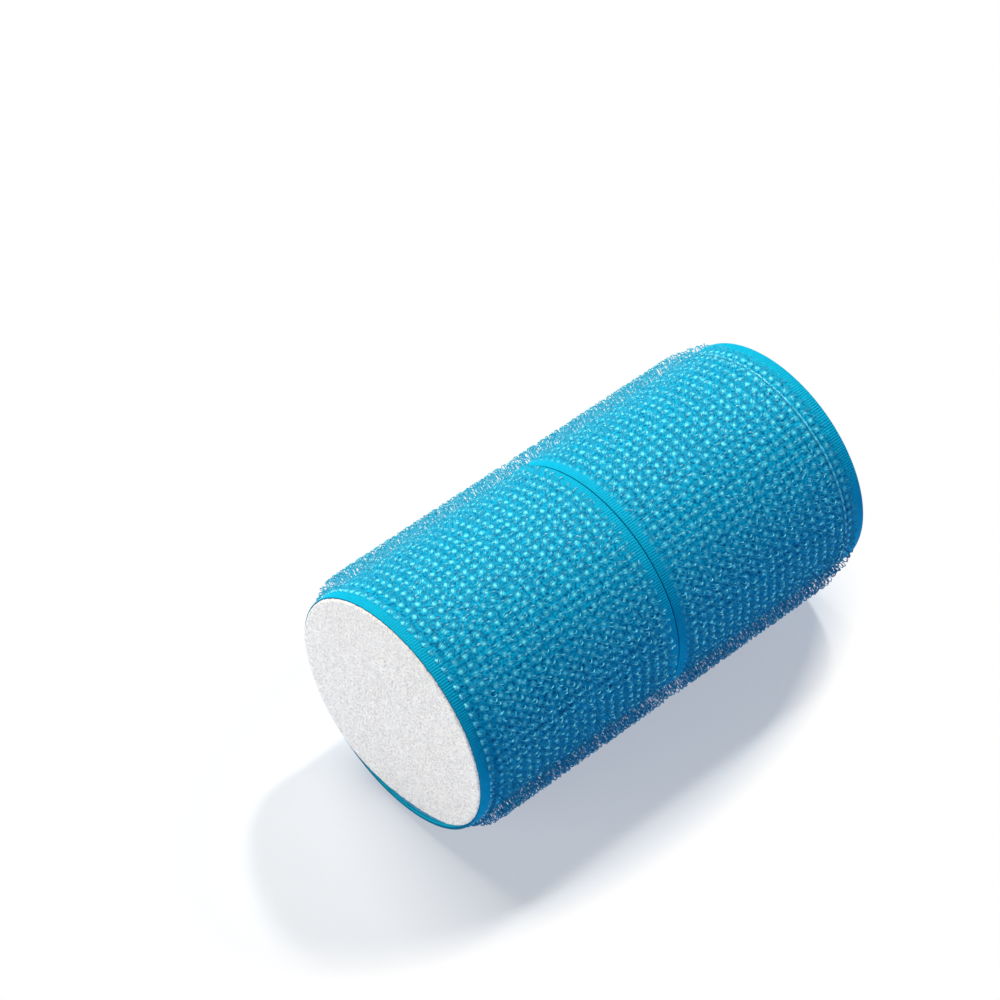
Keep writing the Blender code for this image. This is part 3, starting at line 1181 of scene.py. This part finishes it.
@dataclass
class HookPile:
    """The nylon hooks of one band: small tufts of arched filaments in rows and columns.

    Attributes:
        roller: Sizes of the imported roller.
        band: Which band.
        lattice: Where the tufts stand.
        height: Height of a hook over the weave.
        arch: Radius of its arch.
        thickness: Radius of the filament.
        root_depth: How deep the roots sit in the weave.
        floor_gap: Room left between the lowest hooks and the surface under the roller.
        least_room: Height left to a hook right under the roller.
        floor_cosine: Lowest cosine of a hook's angle with which its room over that surface is worked out.
        stitch_reach: How far from the stitches hooks are held down.
        stitch_press: Share of their height left right at the stitches.
        clearness: How far light passes through a stem and a crown, which are then lit as the tape is.
        crown_span: Heights, as shares of a full hook, at which a stem ends and a crown is whole.
        corners: Corners of the filament.
        seed: Seed of the small differences between hooks.
        scatter: Spread of the tufts' places.
        height_spread: Mean and spread of the hooks' heights about their full height, as shares of it.
        arch_spread: Spread of the arches, as a share of their radius.
        strands: The strands of a tuft.
        steps_along: Places of a path's points along its run, in arch radii.
        steps_stem: Their heights, in lengths of the stem.
        steps_arch: What the arch adds to these heights, in arch radii.
        steps_thick: The filament's radius at these points, in thicknesses.
    """

    roller: RollerFrame
    band: Band
    lattice: TuftLattice
    height: float = 2.55 * MM
    arch: float = 0.46 * MM
    thickness: float = 0.085 * MM
    root_depth: float = 0.25 * MM
    floor_gap: float = 0.03 * MM
    least_room: float = 0.2 * MM
    floor_cosine: float = 0.2
    stitch_reach: float = 3.0 * MM
    stitch_press: float = 0.3
    clearness: tuple[float, float] = (0.56, 0.06)
    crown_span: tuple[float, float] = (0.7, 0.95)
    corners: int = 3
    seed: int = 730
    scatter: float = 0.05 * MM
    height_spread: tuple[float, float] = (-0.02, 0.05)
    arch_spread: float = 0.12
    strands: tuple[Strand, ...] = (
        Strand(way=1.0, shift=-0.24 * MM, tall=1.0, wide=1.0, lean=5.0, swing=20.0),
        Strand(way=1.0, shift=0.28 * MM, tall=0.93, wide=1.0, lean=8.0, swing=30.0),
        Strand(way=-1.0, shift=0.0, tall=0.78, wide=1.1, lean=14.0, swing=60.0),
    )
    steps_along: tuple[float, ...] = (-1.0, -1.05, -0.78, 0.0, 0.78, 1.0, 0.82)
    steps_stem: tuple[float, ...] = (0.0, 0.6, 1.0, 1.0, 1.0, 0.97, 0.76)
    steps_arch: tuple[float, ...] = (0.0, 0.0, 0.62, 1.0, 0.62, 0.0, 0.0)
    steps_thick: tuple[float, ...] = (0.9, 0.9, 1.0, 1.7, 1.5, 0.9, 0.6)

    def pressed(self, place: np.ndarray) -> np.ndarray:
        """Share of the height that is left to a hook: little beside the stitches, which hold hooks down.

        Args:
            place: Places of the hooks along X.

        Returns:
            A share that rises with the distance from the stitches and is 1 from the stitch_reach on.
        """
        low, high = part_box(f"{self.band.label}_edge_stitch")
        away = np.abs(place - (low.x + high.x) / 2.0) / self.stitch_reach
        return self.stitch_press + (1.0 - self.stitch_press) * np.clip(away, 0.0, 1.0)

    def strand_paths(self, strand: Strand, number: int) -> tuple[np.ndarray, np.ndarray, np.ndarray]:
        """Paths of the same strand of every tuft.

        A path goes along (arch * a, (height - arch) * s + arch * b) for the three lists of steps a, s and b,
        leans a little both ways, turns a little about its root, and is flattened where the roller lies on it.

        Args:
            strand: How the strand grows.
            number: Its number in the tuft, which seeds it.

        Returns:
            The paths, a direction across each, and each point's height as a share of a full hook.
        """
        rng = np.random.default_rng((self.seed, number, self.band.value + 1))
        place, angle = self.lattice.tufts()
        count = place.size
        place = place + rng.normal(0.0, self.scatter, count)
        angle = angle + rng.normal(0.0, self.scatter, count) / self.roller.weave_radius
        tallest = self.roller.tip_radius - self.roller.weave_radius - self.thickness
        height = self.height * strand.tall * (1.0 + rng.normal(*self.height_spread, count))
        height = (np.minimum(height, tallest) * self.pressed(place))[:, None]
        arch = self.arch * strand.wide * (1.0 + rng.normal(0.0, self.arch_spread, count))[:, None]
        lean_round = np.tan(np.radians(rng.normal(0.0, strand.lean, count)))[:, None]
        lean_along = np.tan(np.radians(rng.normal(0.0, strand.lean, count)))[:, None]
        swing = np.radians(rng.normal(0.0, strand.swing, count))[:, None]
        rise = (height - arch) * np.array(self.steps_stem) + arch * np.array(self.steps_arch)
        run = strand.way * arch * np.array(self.steps_along) + lean_along * rise
        drift = strand.shift + lean_round * rise
        along = run * np.cos(swing) - drift * np.sin(swing)
        sideways = run * np.sin(swing) + drift * np.cos(swing)
        turn = angle[:, None] + sideways / self.roller.weave_radius
        down = np.maximum(np.cos(turn), self.floor_cosine)
        room = self.roller.axis_height / down - self.roller.weave_radius
        room = np.maximum(room - self.floor_gap - self.thickness, self.least_room)
        press = np.minimum(1.0, room / height)
        radius = self.roller.weave_radius + rise * press - self.root_depth * (1.0 - rise / height)
        paths = self.roller.wrap(place[:, None] + along, radius, turn)
        across = np.stack((np.zeros(count), np.cos(angle), np.sin(angle)), axis=-1)
        return paths, across, rise / self.height

    def lit_through(self, surface: Surface) -> np.ndarray:
        """Normals turned towards the outside of the roller, since light passes through clear filaments.

        They turn most on the stems. The crowns catch the light by their own round form.

        Args:
            surface: The tubes, with their own normals and the height of each point.

        Returns:
            Unit normals between the two directions.
        """
        outward = surface.points - np.array((0.0, 0.0, self.roller.axis_height))
        outward[:, 0] = 0.0
        outward /= np.linalg.norm(outward, axis=-1, keepdims=True)
        share = np.interp(surface.values["rise"], self.crown_span, self.clearness)[:, None]
        turned = share * outward + (1.0 - share) * surface.normals
        return turned / np.linalg.norm(turned, axis=-1, keepdims=True)

    def build(self, material: bpy.types.Material) -> bpy.types.Object:
        """Grows every tuft at once from the lattice.

        Args:
            material: The filament's finish.

        Returns:
            The hooks of the band as one piece.
        """
        grown = [self.strand_paths(strand, number) for number, strand in enumerate(self.strands)]
        paths, across, rise = (np.concatenate(part) for part in zip(*grown))
        taper = self.thickness * np.array(self.steps_thick)[None, :]
        surface = filament_tubes(paths, across, taper, self.corners)
        surface.values["rise"] = np.repeat(rise.ravel(), self.corners)
        surface.normals = self.lit_through(surface)
        piece = surface.build(f"{self.band.label}_nylon_hooks", material)
        piece.visible_shadow = False
        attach(piece, "root")
        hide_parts(f"{self.band.label}_hook_pile")
        return piece


@dataclass(frozen=True)
class StitchKind:
    """How a line of stitches shows on the tape.

    Attributes:
        thickness: Radius of the thread on the crown of a stitch.
        nip: Share of that radius left where the thread dips.
        dip: How far the thread dips between stitches.
        lift: Height of the crowns' middle over the weave.
        sharpness: Power that narrows the crowns.
    """

    thickness: float
    nip: float
    dip: float
    lift: float
    sharpness: float


@dataclass
class EdgeStitch:
    """The pale thread sewn round one end of the roller: single knots in front, a running line at the rear.

    Attributes:
        roller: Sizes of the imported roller.
        band: The band that it is sewn to.
        kind: How the stitches show.
        stitches: Stitches round the roller.
        steps: Points along each stitch.
        corners: Corners of the thread.
        flatness: Height of the thread's section, as a share of its width.
        sway: Spread of the stitches' places along X.
        seed: Seed of that spread.
    """

    roller: RollerFrame
    band: Band
    kind: StitchKind
    stitches: int = 82
    steps: int = 10
    corners: int = 8
    flatness: float = 0.75
    sway: float = 0.05 * MM
    seed: int = 55

    def build(self, material: bpy.types.Material) -> bpy.types.Object:
        """Carries the thread round the roller, thick on each stitch and thin where it dips.

        The crown is (cos + 1) / 2 of the stitch's phase, to the power of the kind's sharpness; it drives the
        radius and the height.

        Args:
            material: The thread's finish.

        Returns:
            The closed ring of stitches.
        """
        low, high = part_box(f"{self.band.label}_edge_stitch")
        middle = (low.x + high.x) / 2.0
        rings = self.stitches * self.steps
        phase = np.arange(rings)[:, None] / self.steps
        angle = FULL_TURN * (phase + 0.5) / self.stitches + self.roller.slit_angle + math.pi
        rng = np.random.default_rng(self.seed + self.band.value)
        sway = np.repeat(rng.normal(0.0, self.sway, self.stitches), self.steps)[:, None]
        crown = (0.5 + 0.5 * np.cos(FULL_TURN * phase)) ** self.kind.sharpness
        radius = self.kind.thickness * (self.kind.nip + (1.0 - self.kind.nip) * crown)
        centre = self.roller.weave_radius + self.kind.lift - self.kind.dip * (1.0 - crown)
        turn = np.arange(self.corners)[None, :] * FULL_TURN / self.corners
        x = middle + sway * crown + radius * np.cos(turn)
        points = self.roller.wrap(x, centre + self.flatness * radius * np.sin(turn), angle)
        faces = grid_quads(rings, self.corners, wrap_rows=True, wrap_columns=True)
        values = {"crown": np.repeat(crown.ravel(), self.corners)}
        name = f"{self.band.label}_stitch_line"
        piece = Surface(points.reshape(-1, 3), [faces], values).build(name, material)
        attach(piece, "root")
        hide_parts(f"{self.band.label}_edge_stitch")
        return piece


@dataclass(frozen=True)
class SoftBox:
    """One square studio lamp, aimed at the roller.

    Attributes:
        name: The lamp's name.
        bearing: Degrees round the roller, as a camera's azimuth.
        elevation: Degrees over the floor.
        distance: Distance from the roller.
        size: Side of the lamp.
        power: Power in watts.
        colour: Colour of its light.
    """

    name: str
    bearing: float
    elevation: float
    distance: float
    size: float
    power: float
    colour: RGB

    def build(self, target: Vector) -> bpy.types.Object:
        """Hangs the lamp.

        Args:
            target: The point that it faces.

        Returns:
            The lamp.
        """
        data = bpy.data.lights.new(self.name, "AREA")
        data.shape = "SQUARE"
        data.size = self.size
        data.energy = self.power
        data.color = self.colour
        lamp = bpy.data.objects.new(self.name, data)
        bpy.context.scene.collection.objects.link(lamp)
        away = view_axes(self.bearing, self.elevation)[2]
        lamp.location = target + away * self.distance
        lamp.rotation_euler = away.to_track_quat("Z", "Y").to_euler()
        return lamp


def view_axes(azimuth: float, elevation: float) -> tuple[Vector, Vector, Vector]:
    """Axes of a view round the object.

    Args:
        azimuth: Degrees; 0 looks along +Y.
        elevation: Degrees over the horizon.

    Returns:
        The directions to the right, upwards and back towards the eye.
    """
    a = math.radians(azimuth)
    e = math.radians(elevation)
    right = Vector((math.cos(a), math.sin(a), 0.0))
    back = Vector((math.sin(a) * math.cos(e), -math.cos(a) * math.cos(e), math.sin(e)))
    return right, back.cross(right), back


@dataclass(frozen=True)
class PhotoCamera:
    """The camera of the photograph, fitted to the outline of the tape.

    Attributes:
        azimuth: Degrees round the roller.
        elevation: Degrees over the floor.
        focal_pixels: Focal length in pixels of the image.
        image_side: Side of the image in pixels.
        near_pixel: Where the middle of the near end of the tape appears.
        near_depth: Its distance along the view.
        sensor: Side of the sensor in millimetres.
        clip_start: Distance from which things are seen.
    """

    azimuth: float = -41.936
    elevation: float = 47.071
    focal_pixels: float = 3300.0
    image_side: float = 1000.0
    near_pixel: tuple[float, float] = (391.131, 714.646)
    near_depth: float = 615.0 * MM
    sensor: float = 36.0
    clip_start: float = 0.01

    def build(self, near_end: Vector) -> bpy.types.Object:
        """Sets the camera so that the near end of the tape falls on its pixel.

        Args:
            near_end: Middle of the near end of the tape.

        Returns:
            The camera.
        """
        right, up, back = view_axes(self.azimuth, self.elevation)
        across = (self.near_pixel[0] - self.image_side / 2.0) / self.focal_pixels * self.near_depth
        down = (self.near_pixel[1] - self.image_side / 2.0) / self.focal_pixels * self.near_depth
        data = bpy.data.cameras.new("photo_camera")
        data.sensor_width = self.sensor
        data.lens = self.sensor * self.focal_pixels / self.image_side
        data.clip_start = self.clip_start
        camera = bpy.data.objects.new("photo_camera", data)
        bpy.context.scene.collection.objects.link(camera)
        turn = Matrix((right, up, back)).transposed().to_4x4()
        eye = near_end - across * right + down * up + self.near_depth * back
        camera.matrix_world = Matrix.Translation(eye) @ turn
        bpy.context.scene.camera = camera
        return camera


@dataclass
class Studio:
    """White floor, even ambient light and four square lamps, with the two warm ones behind the roller.

    Attributes:
        roller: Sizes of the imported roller.
        floor_side: Side of the floor.
        floor_points: Points along that side.
        floor_drop: How far the floor lies under the roller.
        ambient: Strength of the even light.
        ambient_colour: Colour of the even light.
        lamps: The lamps.
    """

    roller: RollerFrame
    floor_side: float = 6.0
    floor_points: int = 5
    floor_drop: float = 0.1 * MM
    ambient: float = 0.07
    ambient_colour: RGBA = (0.75, 0.88, 1.0, 1.0)
    lamps: tuple[SoftBox, ...] = (
        SoftBox(
            "key_softbox", bearing=115.0, elevation=55.6, distance=1.0, size=0.09, power=6.9, colour=WARM
        ),
        SoftBox(
            "top_softbox", bearing=178.0, elevation=55.0, distance=1.1, size=0.6, power=10.5, colour=WARM
        ),
        SoftBox(
            "left_softbox", bearing=-104.0, elevation=5.0, distance=1.2, size=0.8, power=15.5, colour=CREAM
        ),
        SoftBox(
            "fill_softbox", bearing=15.0, elevation=2.0, distance=1.2, size=0.6, power=5.8, colour=COOL
        ),
    )

    def build(self) -> None:
        """Lays the floor, hangs the lamps and lights the world."""
        half = self.floor_side / 2.0
        across = np.linspace(-half, half, self.floor_points)
        x, y = np.meshgrid(across, across, indexing="ij")
        points = np.stack((x, y, np.full_like(x, -self.floor_drop)), axis=-1).reshape(-1, 3)
        faces = grid_quads(self.floor_points, self.floor_points)[:, ::-1]
        floor = Surface(points, [faces]).build("paper_floor", FloorFinish().material())
        target = Vector((0.0, 0.0, self.roller.axis_height))
        for lamp in self.lamps:
            lamp.build(target)
        self.light_world()
        bpy.context.scene.view_settings.view_transform = "Standard"

    def light_world(self) -> None:
        """Even light, which the camera, gloss and clear pieces see as plain white."""
        world = bpy.data.worlds.new("studio_white")
        world.use_nodes = True
        bpy.context.scene.world = world
        graph = ShaderGraph(world.node_tree)
        seen = graph.seen_plainly()
        strength = graph.math("MULTIPLY_ADD", seen, 1.0 - self.ambient, self.ambient)
        colour = graph.blend(seen, self.ambient_colour, PURE_WHITE)
        white = graph.add("Background", {"Color": colour, "Strength": strength})
        graph.add("OutputWorld", {"Surface": white.outputs["Background"]})


def dress_node(node: str, material: bpy.types.Material) -> None:
    """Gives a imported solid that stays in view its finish.

    Args:
        node: The node's name.
        material: The finish.
    """
    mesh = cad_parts[node].data
    mesh.materials.clear()
    mesh.materials.append(material)


def main() -> None:
    """Builds the camera, the roller's pieces and the studio, in that order."""
    logging.basicConfig(level=logging.INFO, format="%(name)s: %(message)s")
    roller = RollerFrame.read()
    tape_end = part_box("front_tape_ground")[0].x
    PhotoCamera().build(Vector((tape_end, 0.0, roller.axis_height)))
    weave = WeaveFinish().material()
    filament = FilamentFinish().material()
    thread = ThreadFinish().material()
    glue = GlueFinish().material()
    pieces = [SpongeCore(roller).build(SpongeFinish().material())]
    knots = StitchKind(thickness=0.29 * MM, nip=0.45, dip=0.5 * MM, lift=0.12 * MM, sharpness=0.8)
    running = StitchKind(thickness=0.22 * MM, nip=0.8, dip=0.08 * MM, lift=0.2 * MM, sharpness=0.6)
    for band, margin, kind in ((Band.FRONT, 2.75 * MM, knots), (Band.REAR, 2.05 * MM, running)):
        lattice = TuftLattice(roller, band, margin)
        pieces.append(TapeGround(roller, band, lattice).build(weave))
        pieces.append(HookPile(roller, band, lattice).build(filament))
        pieces.append(EdgeStitch(roller, band, kind).build(thread))
        dress_node(f"{band.label}_adhesive_film", glue)
    for piece in pieces:
        log.info("%s: %d faces", piece.name, len(piece.data.polygons))
    Studio(roller).build()


if __name__ == "__main__":
    main()
